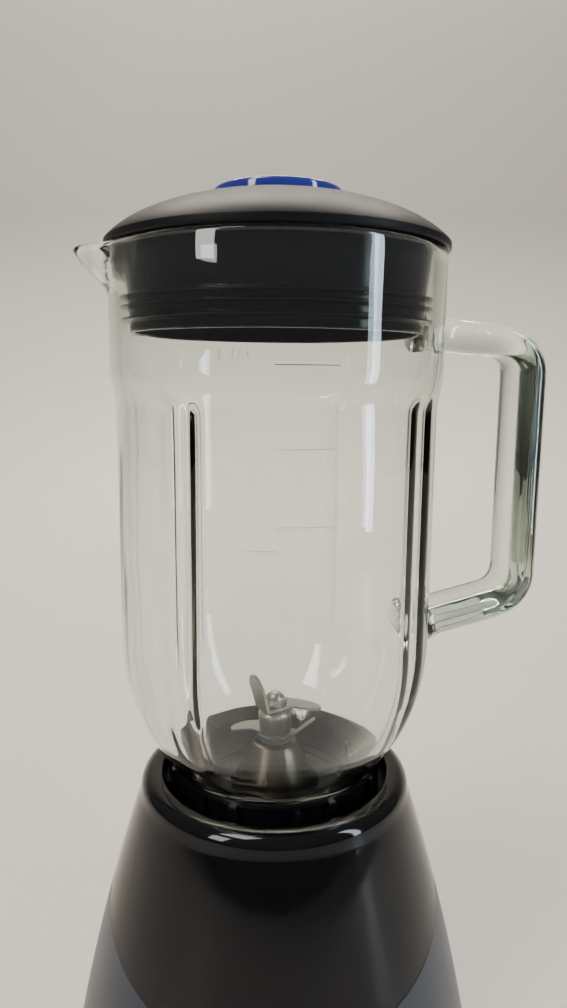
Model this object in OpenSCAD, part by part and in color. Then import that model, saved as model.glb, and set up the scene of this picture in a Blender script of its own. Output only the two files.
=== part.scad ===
// Countertop blender: a glass jar with a screwed blade base, on a round motor base.
// Front is -Y, the handle is on the +X side, z = 0 is the surface the feet stand on.

/* [Motor base] */
// Height of the base's top rim above the table
base_h = 134; // [132:1:165]
// Outer radius of the base at its lower edge
base_foot_r = 88; // [86:1:108]
// Outer radius of the base just under its rounded top rim
base_top_r = 57; // [56.5:0.5:70]
// How far the side swells outside a straight cone
base_bulge = 2.3; // [1.5:0.1:3]
// Wall of both housings
housing_wall = 2.6; // [2.2:0.1:3.2]
// Height of the seam between the housings, on the centre line
seam_z = 86; // [82:1:90]
// Rise of the seam from front to back
seam_angle = 18.3; // [14:0.1:19]
// Open line left at the seam
seam_gap = 0.5; // [0.3:0.1:0.8]
// Height of the lower edge of the base above the table
edge_z = 4.5; // [3.5:0.5:6]

/* [Jar seat] */
// Radius of the seat, at the base's top rim
seat_r = 47.7; // [47.2:0.1:49]
// Depth of the seat
seat_depth = 34; // [33:0.5:36]
// Thickness of the seat's floor
seat_floor = 3; // [2.5:0.1:3.5]
// Gap between a collar grip and the seat's key, as an angle
key_gap = 1.5; // [1:0.1:3]

/* [Collar] */
// Outer radius of the collar between its grips
collar_r = 42; // [41.5:0.1:43]
// Radius over the collar's grips
grip_r = 44.5; // [44:0.1:45.5]
// Pairs of grips round the collar
grip_pairs = 7; // [5:1:9]
// Angle between the two grips of a pair
grip_spread = 19; // [14:1:22]
// Width of one grip
grip_w = 3; // [2:0.2:4]
// Radial gap between the glass thread and the collar
thread_gap = 0.6; // [0.5:0.05:0.8]
// Rise of the thread in one turn
thread_pitch = 4; // [4:0.25:5]
// Turns of thread
thread_turns = 1.25; // [1:0.25:1.75]

/* [Glass jar] */
// Outer radius of the jar's straight wall
jar_r = 63; // [58:0.5:76]
// Thickness of the glass
jar_wall = 4.5; // [3.5:0.1:5.5]
// Height of the glass
jar_h = 228.6; // [200:1:275]
// How far the band round the rim stands out from the wall
rim_flare = 1.9; // [1:0.1:3]
// Height of the rim band
rim_band = 43; // [38:1:52]
// Height of the rounded bottom, from its widest circle to its pole
bowl_h = 74; // [70:1:80]
// Height of the bowl's widest circle above the foot of the glass
bowl_z = 78; // [77:1:84]
// Outer radius of the threaded neck
neck_r = 38; // [37.5:0.1:38.5]
// Radius of the neck's bore
neck_bore_r = 33; // [32.6:0.1:33.5]
// Radius of the four flutes pressed into the wall
flute_r = 6; // [4:0.2:8]
// Depth of a flute
flute_depth = 2.8; // [1.5:0.1:3.5]
// Distance of the pouring lip's tip from the jar's wall
lip_reach = 14; // [10:0.5:18]
// Inner radius of the pouring lip
lip_r = 12.5; // [9:0.5:15]
// Lean of the pouring lip from upright
lip_lean = 50; // [40:1:55]

/* [Handle] */
// Angle from the right side round towards the back
handle_turn = 13; // [0:1:30]
// Distance from the jar's wall to the handle's outer face
handle_reach = 51.6; // [45:0.5:70]
// Thickness of the handle's bar
handle_t = 13; // [10:0.5:16]
// Width of the handle's bar
handle_w = 24; // [18:0.5:28]
// Bend radius along the middle of the bar
handle_bend = 14; // [12:0.5:20]
// Height of the middle of the upper arm above the foot of the glass
handle_top = 200.6; // [150:1:240]
// Height of the middle of the lower arm above the foot of the glass
handle_foot = 77.8; // [74:1:110]

/* [Lid] */
// Height of the lid from its rim to its flat top
lid_rise = 19.3; // [16:0.1:26]
// Thickness of the lid
lid_wall = 2.4; // [2:0.1:3]
// How far the lid's rim stands out past the glass
lid_overhang = 1.1; // [0.6:0.1:2.5]
// Depth of the lid's skirt inside the jar
skirt_depth = 30.7; // [26:0.5:36]
// Gap between the sealing ribs and the glass
rib_gap = 0.4; // [0.3:0.05:0.6]
// Outer radius of the measuring cap's cup
cap_r = 21.8; // [18:0.2:24]
// Wall of the measuring cap
cap_wall = 1.8; // [1.4:0.1:2.4]
// Depth of the cup below the lid's top
cap_depth = 30; // [20:1:40]
// Gap between the cap and the lid
cap_gap = 0.35; // [0.3:0.05:0.5]

/* [Blades] */
// Radius of the spindle
spindle_r = 3.5; // [3:0.1:3.9]
// Thickness of the blade steel
blade_t = 1.4; // [1:0.1:1.8]
// Width of the blade steel
blade_w = 11; // [9:0.5:12]
// Length of a lower wing along the steel
lower_len = 15.5; // [12:0.5:18]
// Lift of the raised lower wing
lower_lift = 44; // [30:1:50]
// Length of an upper wing along the steel
upper_len = 18; // [14:0.5:20]
// Lift of the raised upper wing
upper_lift = 75; // [60:1:80]
// Drop of the other wing of each blade
wing_drop = 20; // [10:1:25]
// Height between the lower and the upper blade
blade_step = 10; // [8:0.5:12]
// Direction of the upper blade's lowered wing, from the right side
blade_turn = 31; // [0:1:90]
// Angle from the lower blade to the upper blade
blade_cross = 65; // [50:1:90]

/* [Controls] */
// Height of the row of buttons
button_z = 30; // [29:0.5:31]
// Angle between two buttons
button_step = 12.5; // [12:0.25:13]
// Width of a button
button_w = 14; // [12:0.25:14]
// Height of a button
button_h = 12; // [10:0.25:12.5]
// Travel of a button
button_travel = 3; // [2:0.25:3.25]

/* [Motor] */
// Radius of the motor shaft
shaft_r = 4; // [3.5:0.1:4.2]
// Radial gap of a shaft in its bearing
running_gap = 0.05; // [0.03:0.01:0.08]
// Height of the laminated core
core_h = 26; // [22:0.5:26]
// Radius of the armature
armature_r = 20; // [17:0.5:20]
// Air gap between armature and poles
air_gap = 0.5; // [0.4:0.05:0.8]
// Radius of the cooling fan
fan_r = 34; // [28:0.5:35]

/* [Hidden] */
$fn = 96;
slack = 0.01;

// Heights up the base
shoulder_z = base_h - 7;
floor_z = base_h - seat_depth;
deck_z = 38;
deck_t = 3;
plate_t = 3;
plate_z = edge_z + 0.5;

// Heights up the jar's base
collar_z = floor_z + 0.2;
ledge_z = floor_z + 10;
collar_lip_r = collar_r + 1.2;
grip_phase = -68.5;
flange_t = 3.5;
gasket_t = 2.5;
glass_z = ledge_z + flange_t + gasket_t;
plug_z = glass_z + 6;
hub_z = plug_z + 20.3;
blade_z = hub_z + 5.1;
upper_blade_z = blade_z + blade_t + blade_step;
nut_z = upper_blade_z + blade_t;
holder_bore_r = spindle_r + 2.5;

// Glass
rim_r = jar_r + rim_flare;
rim_z = glass_z + jar_h;
band_z = rim_z - rim_band;
thread_h = 1.6;
thread_foot = 3;
collar_bore_r = neck_r + thread_h + thread_gap;
flute_turns = [45, 135, 225, 315];
flute_top = band_z - 12;

// Lid
lid_z = rim_z + 0.3;
lid_top = lid_z + lid_rise;
lid_r = rim_r + lid_overhang;
lid_hole_r = cap_r + cap_gap;
cap_flange_r = cap_r + 3.2;
lid_flat_r = cap_flange_r + 1;
dome_r = lid_r + 4;
dome_h = (lid_rise - 2.6) / (dome_drop(0) - dome_drop(1));
skirt_r = rim_r - jar_wall - 1;
rib_r = rim_r - jar_wall - rib_gap;
rib_heights = [18.6, 22, 26.4];

// Fasteners
screw_r = 1.9;
screw_head_r = 3.6;
boss_r = 4.5;
housing_screw_r = seat_r + 6.3;
plate_screw_r = base_foot_r - 11;
foot_pos_r = base_foot_r - 24;
foot_r = 8;
diagonals = [45, 135, 225, 315];

// Cord outlet
gland_z = 24;

// Buttons
button_count = 6;
bezel_h = button_h + 8;
bezel_proud = 1;
bezel_sunk = 1.4;
flange_depth = bezel_sunk + 0.8;
plunger_r = 2.5;
bank_depth = 10;
bank_t = 10;
button_tilt = atan((base_r(button_z - 5) - base_r(button_z + 5)) / 10);
row_span = (button_count - 1) * button_step + 19;

// Motor, measured down from the seat's floor
core_z = floor_z - 53;
core_top = core_z + core_h;
upper_bar_z = floor_z - 20;
lower_bar_z = core_z - 25;
bar_t = 4;
commutator_z = core_z - 16;
commutator_r = armature_r / 2;
commutator_h = 9;
fan_z = core_z - 37.5;
fan_h = 8;
shaft_foot = fan_z - 0.5;
core_x = armature_r + 18;
core_y = armature_r + 13;
bolt_x = core_x - 5.2;
bolt_r = 2;
ear_r = 43;
brush_w = 6;
coil_x = armature_r - 1.7;
coil_y = 17;
winding_r = armature_r - 4;
winding_h = 6;
slots = 12;

// Couplings
star_z = floor_z + 5.5;
star_h = 6.5;
star_r = 12.5;
arm_w = 4;
star_gap = 0.4;
coupling_r = 18;

// ---- shared shapes ----

// Points of an arc about c, from angle a to angle b
function arc(c, r, a, b, n = 8) =
    [for (i = [0:n]) let (t = a + (b - a) * i / n) [c[0] + r * cos(t), c[1] + r * sin(t)]];

// Outer radius of the base at height z
function base_r(z) =
    let (t = (z - edge_z) / (shoulder_z - edge_z))
    base_foot_r + (base_top_r - base_foot_r) * t + 4 * base_bulge * t * (1 - t);

// Side of the base, set in by d, between two heights
function base_side(z0, z1, d = 0, n = 14) =
    [for (i = [0:n]) let (z = z0 + (z1 - z0) * i / n) [base_r(z) - d, z]];

// Height of the rounded bottom of the glass at radius r, for a wall set in by d
function bowl_at(r, d = 0) =
    glass_z + bowl_z - (bowl_h - d) * sqrt(1 - pow(r / (jar_r - d), 2));

// Wall of the glass from radius r0 up to the rim, set in by d
function glass_side(r0, d, n = 18) = concat(
    [for (i = [0:n])
        let (a0 = acos(r0 / (jar_r - d)), a = a0 * (1 - i / n))
        [(jar_r - d) * cos(a), glass_z + bowl_z - (bowl_h - d) * sin(a)]],
    [for (i = [0:6])
        let (s = i / 6)
        [jar_r - d + rim_flare * (1 - cos(180 * s)) / 2, band_z - 16 * (1 - s)]]);

// Fraction of the dome's height left at the rim (1) and at its flat top (0)
function dome_drop(rim) = sqrt(1 - pow((rim == 1 ? lid_r : lid_flat_r) / dome_r, 2));

// Height of the lid's dome at radius r
function dome_at(r) = lid_top - dome_h * (dome_drop(0) - sqrt(1 - pow(r / dome_r, 2)));

// Tube standing on z
module tube(r_out, r_in, z, h) {
    translate([0, 0, z])
        difference() {
            cylinder(r = r_out, h = h);
            translate([0, 0, -1])
                cylinder(r = r_in, h = h + 2);
        }
}

// Flat rectangle with round corners, centred
module round_rect(w, h, r) {
    x = w / 2 - r;
    y = h / 2 - r;
    polygon(concat(arc([x, y], r, 0, 90, 5), arc([-x, y], r, 90, 180, 5),
        arc([-x, -y], r, 180, 270, 5), arc([x, -y], r, 270, 360, 5)));
}

// Child repeated at each angle, at radius r
module around(angles, r = 0) {
    for (a = angles)
        rotate([0, 0, a])
            translate([r, 0, 0])
                children();
}

// Ridge wound up a cylinder, from the radius it stands on to its crest
module thread(r_foot, r_crest, z) {
    steps = round(thread_turns * 36);
    flip = r_crest < r_foot;
    function part(i) = max(0.25, min(1, i / 4, (steps - i) / 4));
    ring = [for (i = [0:steps])
        let (a = 360 * thread_turns * i / steps, c = r_foot + (r_crest - r_foot) * part(i),
            h = z + thread_pitch * thread_turns * i / steps)
        each [for (q = [[r_foot, -1.2], [c, -0.5], [c, 0.5], [r_foot, 1.2]])
            [q[0] * cos(a), q[0] * sin(a), h + q[1]]]];
    sides = [for (i = [0:steps - 1], k = [0:3])
        let (p = 4 * i + k, q = 4 * i + (k + 1) % 4)
        each flip ? [[p, p + 4, q], [q, p + 4, q + 4]] : [[p, q, p + 4], [q, q + 4, p + 4]]];
    e = 4 * steps;
    ends = flip ? [[0, 1, 2, 3], [e + 3, e + 2, e + 1, e]] : [[0, 3, 2, 1], [e, e + 1, e + 2, e + 3]];
    polyhedron(points = ring, faces = concat(sides, ends));
}

// Compression spring wound round +Z from z = 0
module coil_spring(r, wire_r, h, turns) {
    sides = 6;
    steps = turns * 12;
    ring = [for (i = [0:steps])
        let (a = 360 * turns * i / steps, z = wire_r + (h - 2 * wire_r) * i / steps)
        each [for (k = [0:sides - 1])
            let (q = r + wire_r * cos(360 * k / sides))
            [q * cos(a), q * sin(a), z + wire_r * sin(360 * k / sides)]]];
    faces = [for (i = [0:steps - 1], k = [0:sides - 1])
        let (p = sides * i + k, q = sides * i + (k + 1) % sides)
        each [[p, q, p + sides], [q, q + sides, p + sides]]];
    start = [for (k = [sides - 1:-1:0]) k];
    finish = [for (k = [0:sides - 1]) sides * steps + k];
    polyhedron(points = ring, faces = concat(faces, [start, finish]));
}

// Pan-head screw pointing up, its head below z = 0
module screw(length) {
    translate([0, 0, -2.6])
        difference() {
            cylinder(r = screw_head_r, h = 2.6);
            for (a = [0, 90])
                rotate([0, 0, a])
                    translate([-2.4, -0.5, -1])
                        cube([4.8, 1, 2.2]);
        }
    translate([0, 0, -1])
        cylinder(r = screw_r, h = length + 1);
}

// Everything below the tilted seam, lowered by drop
module below_seam(drop) {
    translate([0, 0, seam_z])
        rotate([seam_angle, 0, 0])
            translate([-200, -200, -400 - drop])
                cube([400, 400, 400]);
}

// Hollow cone that follows the base's side, between two depths in from its face
module side_band(outer, inner, z0, z1) {
    side = base_side(z0, z1, inner);
    rotate_extrude()
        polygon(concat(base_side(z0, z1, outer), [for (i = [len(side) - 1:-1:0]) side[i]]));
}

// ---- lid and cap ----

module lid() color([0.06, 0.06, 0.065]) {
    steps = 14;
    span = lid_r - lid_flat_r;
    inner_r = skirt_r - lid_wall;
    inner_span = inner_r - 1 - lid_hole_r - lid_wall;
    dome = [for (i = [0:steps]) let (r = lid_flat_r + span * i / steps) [r, dome_at(r)]];
    under = [for (i = [steps:-1:0])
        let (r = lid_hole_r + lid_wall + inner_span * i / steps)
        [r, dome_at(max(r, lid_flat_r)) - lid_wall]];
    rotate_extrude()
        polygon(concat([[lid_hole_r, lid_top]], dome,
            [[lid_r, lid_z + 1.2], [lid_r - 1.2, lid_z], [skirt_r, lid_z],
             [skirt_r - 1.6, rim_z - skirt_depth / 2], [skirt_r - 2.4, rim_z - skirt_depth],
             [inner_r - 2.4, rim_z - skirt_depth], [inner_r - 1.6, rim_z - skirt_depth / 2],
             [inner_r - 1, lid_z]],
            under,
            [[lid_hole_r + lid_wall, lid_top - 19], [lid_hole_r, lid_top - 19]]));
    for (depth = rib_heights)
        translate([0, 0, rim_z - depth])
            rotate_extrude()
                polygon([[skirt_r - 3, -1.4], [rib_r, -0.3], [rib_r, 0.3], [skirt_r - 3, 1.4]]);
}

module lid_cap() color([0.1, 0.16, 0.75]) {
    seat = lid_top + 0.3;
    rotate_extrude()
        polygon(concat([[0, seat + 3.7]],
            arc([cap_flange_r - 1.2, seat + 2.5], 1.2, 90, 0, 5),
            [[cap_flange_r, seat], [cap_r, seat], [cap_r, lid_top - cap_depth],
             [cap_r - cap_wall, lid_top - cap_depth], [cap_r - cap_wall, seat + 1.6],
             [0, seat + 1.6]]));
}

// ---- glass jar ----

// Two straight bars and a grip joined by round bends, in the plane of the handle
module handle_bar() {
    x = jar_r + handle_reach - handle_t / 2;
    path = [[jar_r - jar_wall, handle_top], [x, handle_top - 3.4],
        [x, handle_foot + 10.2], [jar_r - jar_wall, handle_foot]];
    function heading(i) = atan2(path[i + 1][1] - path[i][1], path[i + 1][0] - path[i][0]);
    function bend(i) = heading(i - 1) - heading(i) < -180
        ? heading(i - 1) - heading(i) + 360 : heading(i - 1) - heading(i);
    function inset(i) = i == 0 || i == 3 ? 0 : handle_bend * tan(bend(i) / 2);
    for (i = [0:2]) {
        run = norm(path[i + 1] - path[i]) - inset(i) - inset(i + 1);
        translate([path[i][0], path[i][1], 0])
            rotate([0, 0, heading(i)])
                translate([inset(i), 0, 0])
                    rotate([90, 0, 90])
                        linear_extrude(run)
                            round_rect(handle_t, handle_w, 5.5);
    }
    for (i = [1:2]) {
        h = heading(i - 1);
        start = path[i] - inset(i) * [cos(h), sin(h)];
        centre = start + handle_bend * [sin(h), -cos(h)];
        translate([centre[0], centre[1], 0])
            rotate([0, 0, h + 89.5 - bend(i)])
                rotate_extrude(angle = bend(i) + 1)
                    translate([handle_bend, 0])
                        round_rect(handle_t - 0.04, handle_w - 0.04, 5.5);
    }
}

// Leaning cylinder that shapes the pouring lip
module lip_form(r, from) {
    lean_x = rim_r + lip_reach - 1.9 - (lip_r + 3.5) / cos(lip_lean);
    rotate([0, 0, handle_turn + 180])
        translate([lean_x, 0, rim_z])
            rotate([0, lip_lean, 0])
                translate([0, 0, from])
                    cylinder(r = r, h = 40 - from);
}

module glass_jar() color([0.82, 0.93, 0.9, 0.35]) {
    difference() {
        union() {
            rotate_extrude()
                polygon(concat([[0, glass_z], [neck_r - 0.8, glass_z], [neck_r, glass_z + 0.8]],
                    glass_side(neck_r, 0),
                    [[rim_r, rim_z - 1.5], [rim_r - 1.5, rim_z], [0, rim_z]]));
            thread(neck_r - 0.4, neck_r + thread_h, glass_z + thread_foot);
            rotate([0, 0, handle_turn])
                translate([0, 0, glass_z])
                    rotate([90, 0, 0])
                        handle_bar();
            intersection() {
                lip_form(lip_r + 3.5, -26);
                translate([0, 0, rim_z - 30])
                    cylinder(r = rim_r + lip_reach + 5, h = 30);
            }
        }
        difference() {
            rotate_extrude()
                polygon(concat([[0, glass_z - 1], [neck_bore_r, glass_z - 1]],
                    glass_side(neck_bore_r, jar_wall),
                    [[rim_r - jar_wall, rim_z + 5], [0, rim_z + 5]]));
            rotate([0, 0, handle_turn])
                around(flute_turns, jar_r + flute_r - flute_depth) {
                    translate([0, 0, glass_z + bowl_z - 30])
                        cylinder(r = flute_r + jar_wall, h = flute_top - glass_z - bowl_z + 30);
                    translate([0, 0, flute_top])
                        sphere(r = flute_r + jar_wall);
                }
        }
        rotate([0, 0, handle_turn])
            around(flute_turns, jar_r + flute_r - flute_depth) {
                translate([0, 0, glass_z + 20])
                    cylinder(r = flute_r, h = flute_top - glass_z - 20);
                translate([0, 0, flute_top])
                    sphere(r = flute_r);
            }
        lip_form(lip_r, -20);
    }
}

// ---- blade base ----

module jar_gasket() color([0.08, 0.08, 0.08]) {
    tube(neck_r, neck_bore_r + 0.3, ledge_z + flange_t, gasket_t);
}

// Angle of each grip round the collar
function grip_angles() = [for (i = [0:grip_pairs - 1], s = [-0.5, 0.5])
    grip_phase + 360 / grip_pairs * i + s * grip_spread];

module collar() color([0.03, 0.03, 0.035]) {
    lip_z = bowl_at(collar_lip_r) - 0.8;
    grip_top = bowl_at(collar_r) - 1.2;
    rotate_extrude()
        polygon([[collar_bore_r - 9, collar_z], [collar_r - 1, collar_z], [collar_r, collar_z + 1],
            [collar_r, lip_z - 3.6], [collar_lip_r, lip_z - 2.4], [collar_lip_r, lip_z],
            [collar_bore_r, bowl_at(collar_bore_r) - 0.8], [collar_bore_r, ledge_z],
            [collar_bore_r - 9, ledge_z]]);
    around(grip_angles(), collar_r - 0.8)
        translate([0, -grip_w / 2, collar_z + 1.5])
            cube([grip_r - collar_r + 0.8, grip_w, grip_top - collar_z - 1.5]);
    thread(collar_bore_r + 0.4, neck_r + 0.5, glass_z + thread_foot + thread_pitch / 2);
}

module blade_holder() color([0.05, 0.05, 0.055]) {
    plug_r = neck_bore_r - 0.6;
    rotate_extrude()
        polygon([[plug_r - 4.4, ledge_z], [collar_bore_r - 0.6, ledge_z],
            [collar_bore_r - 0.6, ledge_z + flange_t], [plug_r, ledge_z + flange_t],
            [plug_r, plug_z - 2], [plug_r - 2, plug_z], [19, plug_z], [17.5, plug_z + 1.5],
            [holder_bore_r + 2.2, hub_z], [holder_bore_r, hub_z], [holder_bore_r, plug_z - 4],
            [plug_r - 4.4, plug_z - 4]]);
}

module blade_cup() color([0.75, 0.75, 0.77]) {
    rotate_extrude()
        polygon([[19.3, plug_z + slack], [20.3, plug_z + slack], [20.3, plug_z + 1.4],
            [18.6, plug_z + 2.6], [holder_bore_r + 3.4, hub_z + 1.3],
            [holder_bore_r + 0.2, hub_z + 1.9], [holder_bore_r + 0.2, hub_z + 0.9],
            [holder_bore_r + 2.7, hub_z + 0.5], [17.9, plug_z + 2.1], [19.3, plug_z + 1.1]]);
}

module spindle_bush() color([0.72, 0.52, 0.26]) {
    tube(holder_bore_r - slack, spindle_r + running_gap, plug_z - 3, hub_z - plug_z);
}

module spindle_seal() color([0.1, 0.1, 0.1]) {
    tube(holder_bore_r - slack, spindle_r + running_gap, hub_z - 2.9, 3.4);
}

module spindle() color([0.7, 0.7, 0.72]) {
    translate([0, 0, star_z + star_h + 0.8])
        cylinder(r = spindle_r, h = nut_z + 3.2 - star_z - star_h);
}

// Steel outside the leaf shape that a wing is cut to, in the plane of its steel
module wing_trim(length) {
    half = blade_w / 2 + 0.8;
    from = length * 0.4;
    reach = length - 0.3 - from;
    translate([0, 0, -blade_t])
        linear_extrude(3 * blade_t)
            difference() {
                translate([2, -half - 1])
                    square([length + 2, 2 * half + 2]);
                polygon(concat([[1, -half]],
                    [for (a = [-90:15:90]) [from + reach * cos(a), half * sin(a)]], [[1, half]]));
            }
}

// Strip of steel with a flat middle and two wings, each given as its length and its lift
module blade(root, wings, z) {
    function tip(w) = [root + w[0] * cos(w[1]), w[0] * sin(w[1])];
    function edge(w) = tip(w) + blade_t * [-sin(w[1]), cos(w[1])];
    function fold(w) = [root - blade_t * tan(w[1] / 2), blade_t];
    function flip(q) = [-q[0], q[1]];
    right = wings[0];
    left = wings[1];
    translate([0, 0, z])
        difference() {
            rotate([90, 0, 0])
                translate([0, 0, -blade_w / 2])
                    linear_extrude(blade_w)
                        polygon([[-root, 0], [root, 0], tip(right), edge(right), fold(right),
                            flip(fold(left)), flip(edge(left)), flip(tip(left))]);
            for (i = [0, 1])
                rotate([0, 0, 180 * i])
                    translate([root, 0, 0])
                        rotate([0, -wings[i][1], 0])
                            wing_trim(wings[i][0]);
            translate([0, 0, -5])
                cylinder(r = spindle_r, h = 20);
        }
}

module lower_blade() color([0.78, 0.78, 0.8]) {
    rotate([0, 0, blade_turn - blade_cross])
        blade(8.5, [[lower_len, lower_lift], [lower_len, -wing_drop]], blade_z);
}

module upper_blade() color([0.78, 0.78, 0.8]) {
    rotate([0, 0, blade_turn])
        blade(6.5, [[upper_len, -wing_drop], [upper_len, upper_lift]], upper_blade_z);
}

module blade_washer() color([0.65, 0.65, 0.67]) {
    tube(7, spindle_r, blade_z - 2.4, 2.4);
}

module blade_spacer() color([0.76, 0.76, 0.78]) {
    rotate_extrude()
        polygon(concat([[spindle_r, blade_z + blade_t], [6.6, blade_z + blade_t]],
            arc([4.4, upper_blade_z - 2.6], 2.6, 10, 90, 5), [[spindle_r, upper_blade_z]]));
}

module blade_nut() color([0.8, 0.8, 0.82]) {
    difference() {
        union() {
            translate([0, 0, nut_z])
                cylinder(r = 5.1, h = 3.2, $fn = 6);
            translate([0, 0, nut_z + 1.6])
                sphere(r = 4.4);
        }
        translate([0, 0, nut_z - 10])
            cylinder(r = 10, h = 10);
        translate([0, 0, nut_z - 1])
            cylinder(r = spindle_r, h = 5.2);
    }
}

// Six-armed star, grown by gap
module star(gap) {
    circle(r = 8 + gap);
    for (a = [0:60:300])
        rotate(a)
            translate([0, -arm_w / 2 - gap])
                square([star_r + gap, arm_w + 2 * gap]);
}

module jar_coupling() color([0.1, 0.1, 0.11]) {
    web_z = star_z + star_h + 0.8;
    difference() {
        union() {
            translate([0, 0, star_z + 0.5])
                cylinder(r = coupling_r, h = web_z - star_z + 0.9);
            translate([0, 0, web_z])
                cylinder(r = 8, h = plug_z - 4.5 - web_z);
        }
        translate([0, 0, star_z])
            linear_extrude(web_z - star_z)
                star(star_gap);
        translate([0, 0, web_z - 1])
            cylinder(r = spindle_r, h = 20);
    }
}

// ---- base housings ----

module upper_housing() color([0.02, 0.02, 0.025]) {
    low = seam_z - base_foot_r * tan(seam_angle);
    inner = base_side(low, base_h - housing_wall, housing_wall);
    wall_r = seat_r + housing_wall;
    floor_r = seat_r - 1;
    key_span = 360 / grip_pairs - grip_spread - 2 * key_gap - grip_w / grip_r * 180 / PI;
    difference() {
        union() {
            difference() {
                rotate_extrude()
                    polygon(concat(base_side(low, shoulder_z),
                        arc([base_top_r - 6, base_h - 6], 6, 10, 90, 6),
                        arc([seat_r + 1.5, base_h - 1.5], 1.5, 90, 180, 4),
                        [[floor_r, floor_z], [9.5, floor_z], [9.5, floor_z + 3], [7, floor_z + 3],
                         [7, floor_z - seat_floor], [wall_r, floor_z - seat_floor],
                         [wall_r, base_h - 2 * housing_wall]],
                        [for (i = [len(inner) - 2:-1:0]) inner[i]]));
                below_seam(-seam_gap / 2);
            }
            rotate([0, 0, grip_phase + 180 / grip_pairs - key_span / 2])
                around([for (i = [0:grip_pairs - 1]) 360 / grip_pairs * i])
                    rotate_extrude(angle = key_span)
                        translate([grip_r - 1.1, floor_z - 1])
                            square([seat_r - grip_r + 2.2, 23]);
            around(diagonals, housing_screw_r)
                translate([0, 0, deck_z + deck_t])
                    cylinder(r = boss_r, h = floor_z + 6 - deck_z - deck_t);
            around(diagonals, ear_r)
                translate([0, 0, upper_bar_z + bar_t + 1.5])
                    cylinder(r = boss_r, h = floor_z - upper_bar_z - bar_t - 2.5);
        }
        around(diagonals, housing_screw_r)
            translate([0, 0, deck_z])
                cylinder(r = screw_r + slack, h = 24);
        around(diagonals, ear_r)
            translate([0, 0, upper_bar_z])
                cylinder(r = screw_r + slack, h = 17);
    }
}

module lower_housing() color([0.09, 0.1, 0.115]) {
    high = seam_z + base_foot_r * tan(seam_angle);
    difference() {
        union() {
            difference() {
                side_band(0, housing_wall, edge_z, high);
                difference() {
                    translate([0, 0, -50])
                        cylinder(r = 2 * base_foot_r, h = base_h + 100);
                    below_seam(seam_gap / 2);
                }
            }
            intersection() {
                side_band(housing_wall - 0.3, housing_wall + 1.9, deck_z, high);
                difference() {
                    below_seam(seam_gap / 2);
                    below_seam(6);
                }
            }
            intersection() {
                side_band(housing_wall + 0.25, housing_wall + 1.9, deck_z, high);
                difference() {
                    below_seam(-3);
                    below_seam(6);
                }
            }
            tube(base_r(deck_z) - 1.5, core_x + 8, deck_z, deck_t);
            intersection() {
                around(diagonals, plate_screw_r) {
                    translate([0, 0, plate_z + plate_t])
                        cylinder(r = boss_r, h = 16);
                    translate([0, -1.2, plate_z + plate_t])
                        cube([12, 2.4, 16]);
                }
                rotate_extrude()
                    polygon(concat([[0, edge_z]], base_side(edge_z, deck_z, 1), [[0, deck_z]]));
            }
        }
        around(diagonals, housing_screw_r)
            translate([0, 0, deck_z - 1])
                cylinder(r = screw_r + 0.3, h = 10);
        around(diagonals, plate_screw_r)
            translate([0, 0, plate_z])
                cylinder(r = screw_r + slack, h = 14);
        bezel_form(0.1, 0.1, 10, bezel_sunk + 0.1);
        window_form();
        gland_place()
            cylinder(r = 5.6, h = 30, center = true);
    }
}

// Curved band round the row of buttons, grown by side and by up, between two depths
module bezel_form(side, up, outer, inner) {
    low = button_z - bezel_h / 2 - up;
    top = button_z + bezel_h / 2 + up;
    span = row_span + side * 2;
    rotate([0, 0, -90 - span / 2])
        rotate_extrude(angle = span)
            polygon([[base_r(low) + outer, low], [base_r(top) + outer, top],
                [base_r(top) - inner, top], [base_r(low) - inner, low]]);
}

// Opening in the housing behind the bezel
module window_form() {
    span = row_span - 5;
    h = bezel_h - 4;
    rotate([0, 0, -90 - span / 2])
        rotate_extrude(angle = span)
            translate([base_foot_r - 20, button_z - h / 2])
                square([30, h]);
}

// Child placed on the base's face at button i, its -Y facing out
module at_button(i) {
    rotate([0, 0, (i - (button_count - 1) / 2) * button_step])
        translate([0, -base_r(button_z), button_z])
            rotate([-button_tilt, 0, 0])
                children();
}

// Child placed on the cord outlet, its Z pointing out of the back
module gland_place() {
    lean = atan((base_r(gland_z - 5) - base_r(gland_z + 5)) / 10);
    translate([0, base_r(gland_z), gland_z])
        rotate([lean - 90, 0, 0])
            children();
}

module bottom_plate() color([0.07, 0.07, 0.07]) {
    difference() {
        translate([0, 0, plate_z])
            cylinder(r = base_r(plate_z + plate_t) - housing_wall - 0.4, h = plate_t);
        around(diagonals, plate_screw_r)
            translate([0, 0, plate_z - 1])
                cylinder(r = screw_r + 0.3, h = 10);
        around(diagonals, foot_pos_r)
            translate([0, 0, plate_z - 1])
                cylinder(r = foot_r / 2 + slack, h = 10);
        around([0:15:345], 20)
            translate([0, -1.5, plate_z - 1])
                cube([18, 3, 10]);
    }
}

module feet() color([0.12, 0.12, 0.12]) {
    around(diagonals, foot_pos_r) {
        rotate_extrude()
            polygon([[0, 0], [foot_r - 1, 0], [foot_r, 1], [foot_r, plate_z], [foot_r / 2, plate_z],
                [foot_r / 2, plate_z + plate_t], [foot_r / 2 + 0.9, plate_z + plate_t],
                [foot_r / 2, plate_z + plate_t + 2], [0, plate_z + plate_t + 2]]);
    }
}

module housing_screws() color([0.6, 0.6, 0.62]) {
    around(diagonals, housing_screw_r)
        translate([0, 0, deck_z])
            screw(20);
}

module plate_screws() color([0.6, 0.6, 0.62]) {
    around(diagonals, plate_screw_r)
        translate([0, 0, plate_z])
            screw(13);
}

// ---- controls ----

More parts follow.
